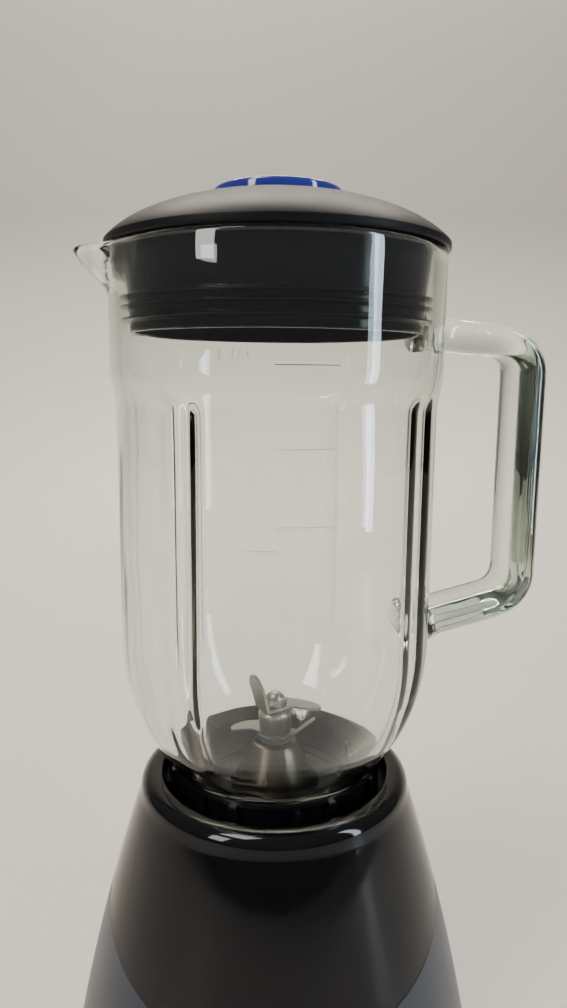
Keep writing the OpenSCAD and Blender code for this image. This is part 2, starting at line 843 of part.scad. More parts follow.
module control_panel() color([0.03, 0.03, 0.035]) {
    difference() {
        bezel_form(0, 0, bezel_proud, bezel_sunk);
        for (i = [0:button_count - 1])
            at_button(i)
                translate([-button_w / 2 - 0.4, -5, -button_h / 2 - 0.4])
                    cube([button_w + 0.8, 12, button_h + 0.8]);
    }
}

// One push-button: cap, retaining flange and plunger
module button(i) color([0.16, 0.17, 0.18]) {
    at_button(i) {
        translate([0, flange_depth, 0])
            rotate([90, 0, 0])
                linear_extrude(flange_depth + bezel_proud + button_travel + 0.4)
                    round_rect(button_w, button_h, 1.6);
        translate([-button_w / 2 - 1, flange_depth, -button_h / 2 - 1])
            cube([button_w + 2, 1.6, button_h + 2]);
        translate([0, flange_depth + 1, 0])
            rotate([-90, 0, 0])
                cylinder(r = plunger_r, h = bank_depth - flange_depth + 1);
    }
}

module button_springs() color([0.7, 0.7, 0.72]) {
    for (i = [0:button_count - 1])
        at_button(i)
            translate([0, flange_depth + 1.6, 0])
                rotate([-90, 0, 0])
                    coil_spring(plunger_r + 1.4, 0.35, bank_depth - flange_depth - 1.6, 3);
}

module switch_bank() color([0.75, 0.72, 0.66]) {
    span = row_span - 7;
    half_h = button_h / 2 + 1;
    difference() {
        rotate([0, 0, -90 - span / 2])
            rotate_extrude(angle = span)
                translate([base_r(button_z) - bank_depth / cos(button_tilt), button_z])
                    rotate(button_tilt)
                        translate([-bank_t, -half_h])
                            square([bank_t, 2 * half_h]);
        for (i = [0:button_count - 1])
            at_button(i)
                translate([0, bank_depth - 3, 0])
                    rotate([-90, 0, 0])
                        cylinder(r = plunger_r + 0.08, h = 10.5);
    }
}

module speed_board() color([0.1, 0.35, 0.16]) {
    x = -core_x - 23;
    z = deck_z + deck_t;
    translate([x, -22, z])
        cube([1.6, 44, 28]);
    translate([x + 1.6, -18, z + 4])
        cube([7, 18, 12]);
    translate([x + 1.6, 4, z + 4])
        cube([5, 12, 16]);
    translate([x + 1.6, -9, z + 22])
        rotate([0, 90, 0])
            cylinder(r = 4, h = 8);
}

module cord_gland() color([0.1, 0.1, 0.1]) {
    gland_place()
        difference() {
            union() {
                translate([0, 0, -housing_wall - 3.1])
                    cylinder(r = 5.5, h = housing_wall + 6);
                translate([0, 0, 0.4])
                    cylinder(r = 8, h = 3);
                translate([0, 0, -housing_wall - 3.1])
                    cylinder(r = 7.5, h = 2.5);
            }
            cylinder(r = 3.6, h = 40, center = true);
        }
}

// ---- motor ----

module stator_core() color([0.55, 0.56, 0.58]) {
    translate([0, 0, core_z])
        linear_extrude(core_h)
            difference() {
                round_rect(2 * core_x, 2 * core_y, 10);
                circle(r = armature_r + air_gap);
                for (s = [-1, 1]) {
                    translate([s * (coil_x + 4.4) - 5, -coil_y - 10.4])
                        square([10, 2 * coil_y + 20.8]);
                    translate([s * bolt_x, 0])
                        circle(r = bolt_r + 0.2);
                }
            }
}

module field_coils() color([0.72, 0.33, 0.14]) {
    over = 5.6;
    for (s = [0, 180])
        rotate([0, 0, s])
            translate([0, coil_y + 10, core_z + core_h / 2])
                rotate([90, 0, 0])
                    linear_extrude(10)
                        difference() {
                            round_rect(2 * coil_x + 17.8, core_h + 2 * over, 7);
                            round_rect(2 * coil_x, core_h + 0.6, 0.8);
                        }
}

module armature_core() color([0.5, 0.51, 0.53]) {
    translate([0, 0, core_z])
        linear_extrude(core_h)
            difference() {
                circle(r = armature_r);
                circle(r = shaft_r);
                for (a = [0:360 / slots:359])
                    rotate(a)
                        translate([armature_r - 9, -1.6])
                            square([12, 3.2]);
            }
}

module armature_windings() color([0.75, 0.38, 0.16]) {
    for (z = [core_z - winding_h, core_top])
        translate([0, 0, z])
            rotate_extrude()
                polygon(concat([[shaft_r + 1, slack], [winding_r - 3, slack]],
                    arc([winding_r - 3, winding_h / 2], winding_h / 2 - slack, -90, 90, 6),
                    [[shaft_r + 1, winding_h - slack]]));
    for (a = [0:360 / slots:359])
        rotate([0, 0, a])
            translate([armature_r - 8.5, -1.4, core_z - 0.2])
                cube([6, 2.8, core_h + 0.4]);
}

module commutator() color([0.8, 0.5, 0.28]) {
    translate([0, 0, commutator_z])
        linear_extrude(commutator_h)
            difference() {
                circle(r = commutator_r);
                circle(r = shaft_r);
                for (a = [0:360 / slots:359])
                    rotate(a)
                        translate([commutator_r - 1.2, -0.3])
                            square([3, 0.6]);
            }
}

module motor_shaft() color([0.7, 0.71, 0.73]) {
    translate([0, 0, shaft_foot])
        cylinder(r = shaft_r, h = star_z + star_h - 2 - shaft_foot);
}

module upper_bracket() color([0.68, 0.69, 0.71]) {
    difference() {
        union() {
            translate([-bolt_x - 5, -8, upper_bar_z])
                cube([2 * bolt_x + 10, 16, bar_t]);
            for (a = [45, 135])
                rotate([0, 0, a])
                    translate([-ear_r - 5.2, -6.5, upper_bar_z])
                        cube([2 * ear_r + 10.4, 13, bar_t]);
            translate([0, 0, upper_bar_z - 0.5])
                cylinder(r = 10, h = 7.5);
            for (x = [-bolt_x, bolt_x])
                translate([x, 0, core_top])
                    cylinder(r = 4.5, h = upper_bar_z - core_top + 1);
        }
        translate([0, 0, upper_bar_z - 5])
            cylinder(r = shaft_r + 3.5, h = 20);
        around(diagonals, ear_r)
            translate([0, 0, upper_bar_z - 1])
                cylinder(r = 3.6, h = 10);
        for (x = [-bolt_x, bolt_x])
            translate([x, 0, core_top - 1])
                cylinder(r = bolt_r + 0.2, h = 20);
    }
}

module lower_bracket() color([0.68, 0.69, 0.71]) {
    difference() {
        union() {
            translate([0, 0, lower_bar_z])
                cylinder(r = core_x, h = bar_t);
            translate([0, 0, lower_bar_z - 2])
                cylinder(r = 10, h = 8);
            for (x = [-bolt_x, bolt_x])
                translate([x, 0, lower_bar_z + 1])
                    cylinder(r = 4.5, h = core_z - lower_bar_z - 1);
            for (y = [-25, 25])
                translate([-5, y - 6, lower_bar_z + 1])
                    cube([10, 12, commutator_z + 0.1 - lower_bar_z - 1]);
        }
        translate([0, 0, lower_bar_z - 5])
            cylinder(r = shaft_r + 3.5, h = 20);
        for (x = [-bolt_x, bolt_x])
            translate([x, 0, lower_bar_z - 1])
                cylinder(r = bolt_r + 0.2, h = 60);
        around([30, 60, 120, 150, 210, 240, 300, 330])
            translate([15, -3, lower_bar_z - 1])
                cube([14, 6, 10]);
    }
}

module upper_bearing() color([0.72, 0.55, 0.3]) {
    tube(shaft_r + 3.5 - slack, shaft_r + running_gap, upper_bar_z - 0.5, 7.5);
}

module lower_bearing() color([0.72, 0.55, 0.3]) {
    tube(shaft_r + 3.5 - slack, shaft_r + running_gap, lower_bar_z - 2, 8);
}

// Child repeated on the two brushes, its +X pointing away from the axis
module at_brushes() {
    around([90, 270])
        translate([0, 0, commutator_z + 0.1 + brush_w / 2 + 1.4])
            children();
}

module brush_holders() color([0.78, 0.6, 0.3]) {
    side = brush_w + 0.4;
    at_brushes()
        translate([commutator_r + 3, 0, 0])
            difference() {
                translate([0, -side / 2 - 1.2, -side / 2 - 1.2])
                    cube([18, side + 2.4, side + 2.4]);
                translate([-1, -side / 2, -side / 2])
                    cube([18, side, side]);
            }
}

module carbon_brushes() color([0.12, 0.12, 0.13]) {
    at_brushes()
        difference() {
            translate([commutator_r - 1, -brush_w / 2, -brush_w / 2])
                cube([12, brush_w, brush_w]);
            translate([0, 0, -20])
                cylinder(r = commutator_r + 0.3, h = 40);
        }
}

module brush_springs() color([0.7, 0.7, 0.72]) {
    at_brushes()
        translate([commutator_r + 11, 0, 0])
            rotate([0, 90, 0])
                coil_spring(2, 0.3, 9, 4);
}

module cooling_fan() color([0.85, 0.85, 0.82]) {
    difference() {
        union() {
            translate([0, 0, fan_z + fan_h - 1.2])
                cylinder(r = fan_r, h = 1.2);
            translate([0, 0, fan_z])
                cylinder(r = 8, h = fan_h);
            around([0:36:324])
                translate([10, -3, fan_z])
                    rotate([0, 0, 18])
                        cube([fan_r - 12, 1.4, fan_h - 0.6]);
        }
        translate([0, 0, fan_z - 1])
            cylinder(r = shaft_r, h = 20);
    }
}

module drive_coupling() color([0.12, 0.12, 0.13]) {
    difference() {
        union() {
            translate([0, 0, floor_z + 3.6])
                cylinder(r = 15, h = star_z - floor_z - 3.6);
            tube(15, 11, floor_z + 1, 3);
            translate([0, 0, star_z - 0.5])
                linear_extrude(star_h + 0.5)
                    star(0);
        }
        translate([0, 0, floor_z])
            cylinder(r = shaft_r, h = star_z + star_h - 2 - floor_z);
    }
}

module motor_grommets() color([0.15, 0.15, 0.15]) {
    around(diagonals, ear_r)
        difference() {
            union() {
                translate([0, 0, upper_bar_z - 1.5])
                    cylinder(r = 3.6 - slack, h = bar_t + 3);
                translate([0, 0, upper_bar_z - 1.5])
                    cylinder(r = 6, h = 1.5);
                translate([0, 0, upper_bar_z + bar_t])
                    cylinder(r = 6, h = 1.5);
            }
            translate([0, 0, upper_bar_z - 5])
                cylinder(r = screw_r + slack, h = 20);
        }
}

module motor_screws() color([0.6, 0.6, 0.62]) {
    around(diagonals, ear_r)
        translate([0, 0, upper_bar_z - 1.5])
            screw(17);
}

module bracket_bolts() color([0.6, 0.6, 0.62]) {
    for (x = [-bolt_x, bolt_x])
        translate([x, 0, 0]) {
            translate([0, 0, lower_bar_z - 3.5])
                cylinder(r = 3.8, h = 3.5, $fn = 6);
            translate([0, 0, lower_bar_z - 1])
                cylinder(r = bolt_r, h = upper_bar_z + bar_t - lower_bar_z + 1.5);
            translate([0, 0, upper_bar_z + bar_t])
                cylinder(r = 3.8, h = 2.6, $fn = 6);
        }
}

lid();
lid_cap();
glass_jar();
jar_gasket();
collar();
blade_holder();
blade_cup();
spindle_bush();
spindle_seal();
spindle();
lower_blade();
upper_blade();
blade_washer();
blade_spacer();
blade_nut();
jar_coupling();
upper_housing();
lower_housing();
bottom_plate();
feet();
housing_screws();
plate_screws();
control_panel();
button(0);  // off_button
button(1);  // pulse_button
button(2);  // speed_1_button
button(3);  // speed_2_button
button(4);  // speed_3_button
button(5);  // speed_4_button
button_springs();
switch_bank();
speed_board();
cord_gland();
stator_core();
field_coils();
armature_core();
armature_windings();
commutator();
motor_shaft();
upper_bracket();
lower_bracket();
upper_bearing();
lower_bearing();
brush_holders();
carbon_brushes();
brush_springs();
cooling_fan();
drive_coupling();
motor_grommets();
motor_screws();
bracket_bolts();
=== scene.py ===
import math
import bmesh
import bpy
from mathutils import Matrix, Vector


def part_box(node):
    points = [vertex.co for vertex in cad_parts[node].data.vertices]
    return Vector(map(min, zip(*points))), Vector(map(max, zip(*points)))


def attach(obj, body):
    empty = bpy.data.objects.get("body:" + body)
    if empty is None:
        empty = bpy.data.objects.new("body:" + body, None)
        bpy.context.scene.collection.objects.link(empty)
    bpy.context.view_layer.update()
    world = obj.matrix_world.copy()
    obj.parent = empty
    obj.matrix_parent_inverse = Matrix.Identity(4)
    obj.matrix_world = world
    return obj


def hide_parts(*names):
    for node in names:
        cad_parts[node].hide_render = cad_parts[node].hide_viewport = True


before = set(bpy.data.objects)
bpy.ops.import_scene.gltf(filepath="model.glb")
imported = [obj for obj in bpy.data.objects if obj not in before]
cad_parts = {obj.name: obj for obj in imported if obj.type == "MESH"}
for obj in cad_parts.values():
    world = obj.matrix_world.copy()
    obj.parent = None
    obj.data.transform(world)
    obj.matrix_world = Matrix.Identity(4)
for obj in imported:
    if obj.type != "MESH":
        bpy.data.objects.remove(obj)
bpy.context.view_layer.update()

# ---- the view ----
# Somebody standing close to the worktop looks level with the lid and a little down on the motor base.
eye = Vector((0.003, -0.3057, 0.298))
look_down, camera_lean = math.radians(9.47), math.radians(0.45)
lens = bpy.data.cameras.new("lens")
lens.lens = 27.04
camera = bpy.data.objects.new("camera", lens)
camera.matrix_world = (Matrix.Translation(eye) @ Matrix.Rotation(math.pi / 2 - look_down, 4, "X")
                       @ Matrix.Rotation(camera_lean, 4, "Z"))
bpy.context.scene.collection.objects.link(camera)
bpy.context.scene.camera = camera


# ---- worktop and light ----
# A pale, almost smooth worktop that runs up into a pale wall behind, lit by large soft boxes and
# by a room that is brighter overhead than at the sides.
def link(tree, *pairs):
    for out, into in pairs:
        tree.links.new(out, into)


def new_material(name):
    material = bpy.data.materials.new(name)
    material.use_nodes = True
    tree = material.node_tree
    return material, tree, tree.nodes["Principled BSDF"]


def noise(tree, place, scale, detail=3.0, stretch=(1, 1, 1)):
    """Noise on Object coordinates, stretched by the given factors; returns its value socket."""
    mapping = tree.nodes.new("ShaderNodeMapping")
    mapping.inputs["Scale"].default_value = stretch
    texture = tree.nodes.new("ShaderNodeTexNoise")
    texture.inputs["Scale"].default_value = scale
    texture.inputs["Detail"].default_value = detail
    link(tree, (place, mapping.inputs["Vector"]), (mapping.outputs[0], texture.inputs["Vector"]))
    return texture.outputs["Fac"]


def spread(tree, value, low, high):
    """The value 0.3 to 0.7 spread over low to high."""
    node = tree.nodes.new("ShaderNodeMapRange")
    for name, number in (("From Min", 0.3), ("From Max", 0.7), ("To Min", low), ("To Max", high)):
        node.inputs[name].default_value = number
    link(tree, (value, node.inputs["Value"]))
    return node.outputs["Result"]


def blend_colours(tree, value, first, second):
    node = tree.nodes.new("ShaderNodeMix")
    node.data_type = "RGBA"
    node.inputs["A"].default_value = (*first, 1)
    node.inputs["B"].default_value = (*second, 1)
    link(tree, (value, node.inputs["Factor"]))
    return node.outputs["Result"]


def raised(tree, height, depth, strength=1.0):
    node = tree.nodes.new("ShaderNodeBump")
    node.inputs["Distance"].default_value = depth
    node.inputs["Strength"].default_value = strength
    link(tree, (height, node.inputs["Height"]))
    return node.outputs["Normal"]


def object_place(tree):
    return tree.nodes.new("ShaderNodeTexCoord").outputs["Object"]


worktop_material, tree, shader = new_material("worktop")
place = object_place(tree)
mottle = noise(tree, place, 3)
link(tree, (blend_colours(tree, mottle, (0.50, 0.475, 0.44), (0.56, 0.53, 0.49)), shader.inputs["Base Color"]),
     (spread(tree, noise(tree, place, 60), 0.45, 0.6), shader.inputs["Roughness"]))
bm = bmesh.new()
corners = [bm.verts.new((x, -1.6, 0)) for x in (-2.2, 2.2)]
edge = [bm.edges.new(corners)]
for step, turn in ((2.2, 0), (0, 90), (1.8, 0)):
    if turn:
        moved = bmesh.ops.spin(bm, geom=edge, cent=(0, 0.6, 0.6), axis=(1, 0, 0), angle=math.radians(turn),
                               steps=16)["geom_last"]
    else:
        lift = (0, 0, step) if step == 1.8 else (0, step, 0)
        moved = bmesh.ops.extrude_edge_only(bm, edges=edge)["geom"]
        bmesh.ops.translate(bm, verts=[v for v in moved if isinstance(v, bmesh.types.BMVert)], vec=lift)
    edge = [e for e in moved if isinstance(e, bmesh.types.BMEdge)]
mesh = bpy.data.meshes.new("worktop")
bm.to_mesh(mesh)
bm.free()
mesh.shade_smooth()
mesh.materials.append(worktop_material)
worktop = bpy.data.objects.new("worktop", mesh)
bpy.context.scene.collection.objects.link(worktop)

room = bpy.data.worlds.new("room")
bpy.context.scene.world = room
room.use_nodes = True
sky = room.node_tree.nodes["Background"]
sky.inputs["Strength"].default_value = 0.3
ramp = room.node_tree.nodes.new("ShaderNodeValToRGB")
for position, grey in ((0.0, 0.10), (0.45, 0.16), (0.6, 0.75), (1.0, 1.0)):
    stop = ramp.color_ramp.elements.new(position)
    stop.color = (grey, grey * 0.96, grey * 0.9, 1)
ramp.color_ramp.elements.remove(ramp.color_ramp.elements[0])
split = room.node_tree.nodes.new("ShaderNodeSeparateXYZ")
rise = room.node_tree.nodes.new("ShaderNodeMapRange")
rise.inputs["From Min"].default_value = -1
link(room.node_tree, (room.node_tree.nodes.new("ShaderNodeTexCoord").outputs["Generated"], split.inputs[0]),
     (split.outputs["Z"], rise.inputs["Value"]), (rise.outputs[0], ramp.inputs["Fac"]),
     (ramp.outputs["Color"], sky.inputs["Color"]))

middle = Vector((0, 0, 0.2))
for name, spot, width, height, power, colour in (
        ("window", (-0.9, -0.9, 0.85), 0.3, 0.7, 9, (1.0, 0.97, 0.93)),
        ("strip", (0.75, -0.35, 0.45), 0.10, 0.8, 5, (0.72, 0.86, 1.0)),
        ("overhead", (-0.5, -0.5, 1.6), 0.5, 0.5, 12, (1.0, 0.97, 0.93)),
        ("wall_wash", (0, 1.1, 1.9), 1.8, 0.3, 80, (1.0, 0.91, 0.8))):
    box = bpy.data.lights.new(name, "AREA")
    box.shape, box.size, box.size_y, box.energy, box.color = "RECTANGLE", width, height, power, colour
    lamp = bpy.data.objects.new(name, box)
    aim = Vector((0, 1.6, 0.5)) if name == "wall_wash" else middle
    lamp.matrix_world = (Matrix.Translation(spot)
                         @ (aim - Vector(spot)).to_track_quat("-Z", "Y").to_matrix().to_4x4())
    bpy.context.scene.collection.objects.link(lamp)

# ---- bottom plate, feet and their screws ----
# A thin moulded ABS plate with air slots closes the base from below. It is held by four plated
# pan-head screws, and four soft rubber feet are pressed through it.
def surface_group(name, inputs):
    """An empty node group with these inputs, that puts out a colour, a roughness and a normal."""
    group = bpy.data.node_groups.new(name, "ShaderNodeTree")
    for label, kind, value in inputs:
        group.interface.new_socket(label, in_out="INPUT", socket_type="NodeSocket" + kind).default_value = value
    for label, kind in (("Colour", "Color"), ("Roughness", "Float"), ("Normal", "Vector")):
        group.interface.new_socket(label, in_out="OUTPUT", socket_type="NodeSocket" + kind)
    return group, group.nodes.new("NodeGroupInput").outputs, group.nodes.new("NodeGroupOutput").inputs


def mix_and_roughen(group, given, made, worn, gloss, second, swing):
    """Colour between the two given ones by worn, and roughness above the given one by gloss."""
    mix = group.nodes.new("ShaderNodeMix")
    mix.data_type = "RGBA"
    rough = group.nodes.new("ShaderNodeMath")
    rough.operation = "MULTIPLY_ADD"
    rough.inputs[1].default_value = swing
    link(group, (worn, mix.inputs["Factor"]), (given["Colour"], mix.inputs["A"]), (given[second], mix.inputs["B"]),
         (mix.outputs["Result"], made["Colour"]), (gloss, rough.inputs[0]), (given["Roughness"], rough.inputs[2]),
         (rough.outputs[0], made["Roughness"]))


def moulded_surface():
    """Moulded plastic or rubber: a fine spark-eroded grain, mottling and handling wear."""
    group, given, made = surface_group("moulded_surface", (
        ("Colour", "Color", (0.5, 0.5, 0.5, 1)), ("Worn Colour", "Color", (0.6, 0.6, 0.6, 1)),
        ("Roughness", "Float", 0.4), ("Grain per Metre", "Float", 2500), ("Grain Depth", "Float", 0.00002),
        ("Wear", "Float", 0.3)))
    place = object_place(group)
    grain = group.nodes.new("ShaderNodeTexNoise")
    grain.inputs["Detail"].default_value = 2
    rubbed = group.nodes.new("ShaderNodeMath")
    rubbed.operation = "MULTIPLY"
    bump = group.nodes.new("ShaderNodeBump")
    link(group, (place, grain.inputs["Vector"]), (given["Grain per Metre"], grain.inputs["Scale"]),
         (spread(group, noise(group, place, 45, 4), 0, 1), rubbed.inputs[0]), (given["Wear"], rubbed.inputs[1]),
         (grain.outputs["Fac"], bump.inputs["Height"]), (given["Grain Depth"], bump.inputs["Distance"]),
         (bump.outputs["Normal"], made["Normal"]))
    mix_and_roughen(group, given, made, rubbed.outputs[0], rubbed.outputs[0], "Worn Colour", 0.12)
    return group


def brushed_surface():
    """Bare metal: fine lines along one direction, stains and small changes of gloss."""
    group, given, made = surface_group("brushed_surface", (
        ("Colour", "Color", (0.6, 0.6, 0.6, 1)), ("Stained Colour", "Color", (0.5, 0.5, 0.5, 1)),
        ("Roughness", "Float", 0.3), ("Line Stretch", "Vector", (1, 1, 1)), ("Lines per Metre", "Float", 1500),
        ("Line Depth", "Float", 0.000005)))
    place = object_place(group)
    mapping = group.nodes.new("ShaderNodeMapping")
    lines = group.nodes.new("ShaderNodeTexNoise")
    lines.inputs["Detail"].default_value = 4
    bump = group.nodes.new("ShaderNodeBump")
    link(group, (place, mapping.inputs["Vector"]), (given["Line Stretch"], mapping.inputs["Scale"]),
         (mapping.outputs[0], lines.inputs["Vector"]), (given["Lines per Metre"], lines.inputs["Scale"]),
         (lines.outputs["Fac"], bump.inputs["Height"]), (given["Line Depth"], bump.inputs["Distance"]),
         (bump.outputs["Normal"], made["Normal"]))
    mix_and_roughen(group, given, made, spread(group, noise(group, place, 70, 5), 0, 1), lines.outputs["Fac"],
                    "Stained Colour", 0.25)
    return group


moulded_group, brushed_group = moulded_surface(), brushed_surface()


def finished(name, group, values):
    """A Principled material whose colour, roughness and normal come from a group with these values."""
    material, tree, shader = new_material(name)
    surface = tree.nodes.new("ShaderNodeGroup")
    surface.node_tree = group
    for label, value in values.items():
        surface.inputs[label].default_value = value
    link(tree, (surface.outputs["Colour"], shader.inputs["Base Color"]),
         (surface.outputs["Roughness"], shader.inputs["Roughness"]),
         (surface.outputs["Normal"], shader.inputs["Normal"]))
    return material, shader


def moulded(name, colour, worn, roughness, grain=2500, depth=0.00002, wear=0.3, shine=0.5):
    material, shader = finished(name, moulded_group, {
        "Colour": (*colour, 1), "Worn Colour": (*worn, 1), "Roughness": roughness,
        "Grain per Metre": grain, "Grain Depth": depth, "Wear": wear})
    shader.inputs["Specular IOR Level"].default_value = shine
    return material


def brushed(name, colour, stained, roughness, stretch=(1, 1, 1), lines=1500, depth=0.000005):
    material, shader = finished(name, brushed_group, {
        "Colour": (*colour, 1), "Stained Colour": (*stained, 1), "Roughness": roughness,
        "Line Stretch": stretch, "Lines per Metre": lines, "Line Depth": depth})
    shader.inputs["Metallic"].default_value = 1
    return material


def dress(material, *nodes):
    """Gives CAD nodes that keep their own shape a finished material."""
    for node in nodes:
        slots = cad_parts[node].data.materials
        slots.clear()
        slots.append(material)


def show(name, bm, material, body, slot, *nodes, sharp=30):
    """Makes a bmesh into a piece that rides on a body and stands for CAD nodes."""
    mesh = bpy.data.meshes.new(name)
    bm.to_mesh(mesh)
    bm.free()
    if "custom_normal" in mesh.attributes:
        mesh.attributes.remove(mesh.attributes["custom_normal"])
    mesh.materials.clear()
    mesh.materials.append(material)
    mesh.shade_smooth()
    mesh.set_sharp_from_angle(angle=math.radians(sharp))
    piece = bpy.data.objects.new(name, mesh)
    bpy.context.scene.collection.objects.link(piece)
    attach(piece, body)
    if nodes:
        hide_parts(*nodes)
    return piece


def merged(node):
    """A CAD node's mesh as one connected bmesh."""
    bm = bmesh.new()
    bm.from_mesh(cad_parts[node].data)
    bmesh.ops.remove_doubles(bm, verts=bm.verts, dist=2e-6)
    return bm


def eased(node, edge, angle=35):
    """A CAD node's mesh with its flat faces whole and its sharp edges rounded over."""
    bm = merged(node)
    bmesh.ops.dissolve_limit(bm, angle_limit=math.radians(0.5), verts=bm.verts, edges=bm.edges)
    sharp = [e for e in bm.edges if e.is_manifold and e.calc_face_angle(0) > math.radians(angle)]
    bmesh.ops.bevel(bm, geom=sharp, offset=edge, offset_type="OFFSET", segments=3, profile=0.5,
                    affect="EDGES", clamp_overlap=True, material=-1)
    return bm


def weighted(piece):
    """Keeps flat faces flat beside rounded edges."""
    piece.modifiers.new("flat_faces", "WEIGHTED_NORMAL").keep_sharp = True
    return piece


plate_plastic = moulded("plate_plastic", (0.028, 0.028, 0.03), (0.06, 0.06, 0.062), 0.5, 1800, 0.00004)
foot_rubber = moulded("foot_rubber", (0.05, 0.05, 0.052), (0.12, 0.115, 0.11), 0.75, 3500, 0.00005, 0.5)
zinc_steel = brushed("zinc_steel", (0.62, 0.63, 0.66), (0.5, 0.49, 0.46), 0.28, (1, 1, 1), 900)
dress(plate_plastic, "bottom_plate")
weighted(show("feet_moulded", eased("feet", 0.0005), foot_rubber, "base", "foot_rubber", "feet"))
dress(zinc_steel, "plate_screws", "housing_screws", "motor_screws", "bracket_bolts")

# ---- the two housings ----
# Injection-moulded ABS: a gloss black upper cover with the jar seat, polished in the mould, and a
# satin black skirt below it, whose blue tint is a painted reflection of the window light. They meet at a slanting
# open line and are screwed from inside.
gloss_black = moulded("gloss_black", (0.003, 0.003, 0.004), (0.006, 0.006, 0.007), 0.05, 260, 0.000012, 0.3, 0.3)
# The skirt's blue colours are a painted reflection of the window light on the satin black plastic.
satin_black = moulded("satin_black", (0.012, 0.021, 0.037), (0.02, 0.03, 0.048), 0.32, 2600, 0.00002, 0.3)
show("upper_housing_polished", merged("upper_housing"), gloss_black, "base", "gloss_black", "upper_housing")
show("lower_housing_moulded", merged("lower_housing"), satin_black, "base", "satin_black", "lower_housing")

# ---- controls ----
# A gloss bezel let into the skirt holds six satin push-buttons that slide square to the base's
# side. Each has its mark pad-printed on its face and a coil spring behind it.
button_lean, button_step = math.radians(11.817), math.radians(12.5)
mark_size, print_t = 0.0078, 0.00005
button_plastic = moulded("button_plastic", (0.10, 0.105, 0.115), (0.17, 0.175, 0.18), 0.42, 3000, 0.00002, 0.4)
print_white = moulded("print_white", (0.78, 0.78, 0.76), (0.6, 0.6, 0.58), 0.5, 4000, 0.000005, 0.4)
switch_nylon = moulded("switch_nylon", (0.62, 0.58, 0.5), (0.5, 0.46, 0.38), 0.5, 1500)
spring_steel = brushed("spring_steel", (0.6, 0.6, 0.62), (0.45, 0.44, 0.43), 0.3, (1, 1, 1), 4000)
weighted(show("control_panel_polished", eased("control_panel", 0.0004), gloss_black, "base", "gloss_black",
              "control_panel"))


def lettering(text, size, depth):
    """A closed bmesh of raised characters, centred, in the XY plane and as deep on each side of it."""
    letter = bpy.data.curves.new(text, "FONT")
    letter.body, letter.size, letter.align_x, letter.align_y = text, size, "CENTER", "CENTER"
    letter.extrude, letter.resolution_u = depth, 4
    drawn = bpy.data.objects.new(text, letter)
    bpy.context.scene.collection.objects.link(drawn)
    bpy.context.view_layer.update()
    bm = bmesh.new()
    bm.from_mesh(drawn.to_mesh())
    bpy.data.objects.remove(drawn)
    bmesh.ops.remove_doubles(bm, verts=bm.verts, dist=1e-6)
    return bm


for index, (name, mark) in enumerate((("off_button", "0"), ("pulse_button", "P"), ("speed_1_button", "1"),
                                      ("speed_2_button", "2"), ("speed_3_button", "3"), ("speed_4_button", "4"))):
    turn = Matrix.Rotation((index - 2.5) * button_step, 3, "Z")
    across = turn @ Vector((1, 0, 0))
    out = turn @ Matrix.Rotation(-button_lean, 3, "X") @ Vector((0, -1, 0))
    corners = [v.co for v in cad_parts[name].data.vertices]
    reach = max(c.dot(out) for c in corners)
    face = [c for c in corners if c.dot(out) > reach - print_t]
    centre = sum(face, Vector()) / len(face)
    bm = lettering(mark, mark_size, print_t)
    stand = Matrix((across, out.cross(across), out)).transposed().to_4x4()
    bmesh.ops.transform(bm, matrix=Matrix.Translation(centre) @ stand, verts=bm.verts)
    weighted(show(name + "_moulded", eased(name, 0.0006), button_plastic, name, "button_plastic", name))
    show(name + "_mark", bm, print_white, name, "button_plastic")
dress(spring_steel, "button_springs", "brush_springs")
dress(switch_nylon, "switch_bank")

# ---- speed board ----
# A small glass-epoxy board stands on the deck: green solder mask over etched copper tracks, with
# the packages of its parts soldered to it.
board_laminate, tree, shader = new_material("board_laminate")
place = object_place(tree)
tracks = tree.nodes.new("ShaderNodeTexBrick")
for label, value in (("Scale", 90), ("Mortar Size", 0.03), ("Color1", (0.02, 0.16, 0.07, 1)),
                     ("Color2", (0.025, 0.2, 0.08, 1)), ("Mortar", (0.08, 0.33, 0.14, 1))):
    tracks.inputs[label].default_value = value
upright = tree.nodes.new("ShaderNodeMapping")
upright.inputs["Rotation"].default_value = (math.pi / 2, 0, math.pi / 2)
link(tree, (place, upright.inputs["Vector"]), (upright.outputs[0], tracks.inputs["Vector"]),
     (tracks.outputs["Color"], shader.inputs["Base Color"]),
     (spread(tree, noise(tree, place, 300), 0.25, 0.4), shader.inputs["Roughness"]),
     (raised(tree, tracks.outputs["Fac"], 0.00004), shader.inputs["Normal"]))
dress(board_laminate, "speed_board")

# ---- cord outlet ----
# A soft PVC bush clipped into the back of the skirt, where the mains lead leaves.
seal_rubber = moulded("seal_rubber", (0.03, 0.03, 0.032), (0.07, 0.07, 0.07), 0.62, 3000, 0.00003, 0.4)
weighted(show("cord_gland_moulded", eased("cord_gland", 0.0005), seal_rubber, "base", "seal_rubber", "cord_gland"))


# ---- motor ----
# A series motor: a stack of thin enamelled laminations between two die-cast brackets, with coils
# of varnished copper wire, and an armature of the same make on a ground shaft.
def banded(name, first, second, scale, direction, roughness, metallic, depth):
    """A material with fine parallel bands: edges of laminations or turns of wire."""
    material, tree, shader = new_material(name)
    place = object_place(tree)
    bands = tree.nodes.new("ShaderNodeTexWave")
    bands.bands_direction = direction
    bands.inputs["Scale"].default_value = scale
    bands.inputs["Distortion"].default_value = 0.4
    link(tree, (place, bands.inputs["Vector"]),
         (blend_colours(tree, bands.outputs["Fac"], first, second), shader.inputs["Base Color"]),
         (spread(tree, noise(tree, place, 200), roughness, roughness + 0.2), shader.inputs["Roughness"]),
         (raised(tree, bands.outputs["Fac"], depth), shader.inputs["Normal"]))
    shader.inputs["Metallic"].default_value = metallic
    return material


